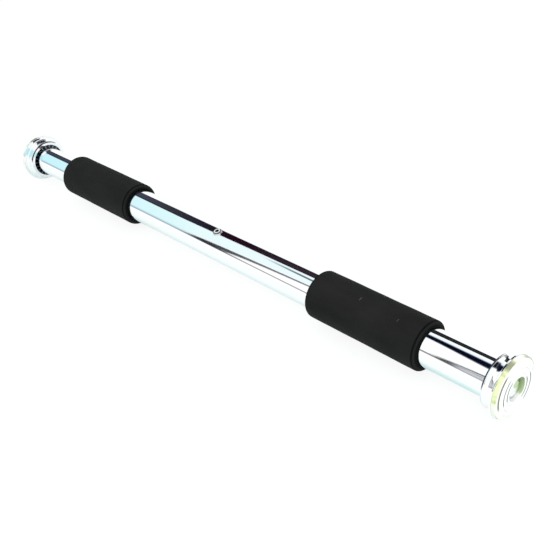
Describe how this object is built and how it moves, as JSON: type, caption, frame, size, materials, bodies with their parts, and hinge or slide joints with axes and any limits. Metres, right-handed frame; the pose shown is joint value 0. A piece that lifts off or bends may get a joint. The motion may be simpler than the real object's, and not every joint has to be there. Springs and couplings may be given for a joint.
{
  "type": "pull up bar",
  "caption": "Telescopic doorway pull-up bar: chromed tubes with foam grips, a small lock screw, and flared swivel end cups with clear ridged pads that press on the jambs.",
  "frame": {"origin": "middle of the fixed end's pad face, on the bar's axis, where the pad meets the door jamb", "axes": "+X runs along the bar from the fixed end to the sliding end, +Z is the side of the lock screw, +Y completes a right-handed frame"},
  "size_m": [0.628, 0.0504, 0.0504],
  "materials": {
    "chrome": "bright chrome plating on steel, mirror smooth",
    "foam": "closed-cell foam rubber, dark grey, fine matte grain",
    "clear_pvc": "soft clear PVC with a slight yellow-green tint, smooth",
    "nylon": "dark moulded nylon",
    "acetal": "white acetal, semi-matte",
    "plated_screw": "nickel-chrome plated steel",
    "steel": "bright turned steel",
    "plug_metal": "turned aluminium",
    "nut_brass": "turned brass"
  },
  "bodies": {
    "fixed_end": {"fixed_end_pad": "clear_pvc", "fixed_end_cup": "chrome", "fixed_end_centring_bush": "nylon"},
    "outer_body": {"outer_tube": "chrome", "fixed_end_plug": "plug_metal", "fixed_end_plug_pins": "steel", "fixed_end_pivot_rivet": "steel", "fixed_end_head_washer": "steel", "fixed_end_thrust_washer": "acetal", "lead_screw": "steel", "lead_screw_pin": "steel", "stop_washer": "steel", "stop_nut": "steel", "fixed_end_grip": "foam", "sliding_end_grip": "foam", "lock_screw_boss": "plated_screw"},
    "bush_carrier": {"slide_bush": "acetal"},
    "inner_body": {"inner_tube": "chrome", "travelling_nut": "nut_brass", "nut_pins": "steel", "bush_retainer": "steel", "sliding_end_plug": "plug_metal", "sliding_end_plug_pins": "steel", "sliding_end_pivot_rivet": "steel", "sliding_end_head_washer": "steel", "sliding_end_thrust_washer": "acetal"},
    "sliding_end": {"sliding_end_pad": "clear_pvc", "sliding_end_cup": "chrome", "sliding_end_centring_bush": "nylon"},
    "lock_washer": {"lock_screw_washer": "plated_screw"},
    "lock_screw": {"lock_screw": "plated_screw"}
  },
  "joints": [
    {"name": "bar_turn", "type": "hinge", "parent": "fixed_end", "child": "outer_body", "pos_m": [0, 0, 0], "axis": [1, 0, 0], "continuous": true},
    {"name": "tube_extension", "type": "slide", "parent": "outer_body", "child": "bush_carrier", "axis": [1, 0, 0], "range_m": [0, 0.368]},
    {"name": "inner_tube_twist", "type": "hinge", "parent": "bush_carrier", "child": "inner_body", "pos_m": [0, 0, 0], "axis": [1, 0, 0], "range_deg": [0, 16560]},
    {"name": "sliding_pad_swivel", "type": "hinge", "parent": "inner_body", "child": "sliding_end", "pos_m": [0.628, 0, 0], "axis": [1, 0, 0], "continuous": true},
    {"name": "lock_screw_lift", "type": "slide", "parent": "outer_body", "child": "lock_washer", "axis": [0, 0, 1], "range_m": [0, 0.0016]},
    {"name": "lock_screw_turn", "type": "hinge", "parent": "lock_washer", "child": "lock_screw", "pos_m": [0.3112, 0, 0], "axis": [0, 0, 1], "range_deg": [0, 720]}
  ],
  "couplings": [
    {"joint": "inner_tube_twist", "follows": "tube_extension", "rad_per_m": 785.4},
    {"joint": "lock_screw_turn", "follows": "lock_screw_lift", "rad_per_m": 7854}
  ]
}
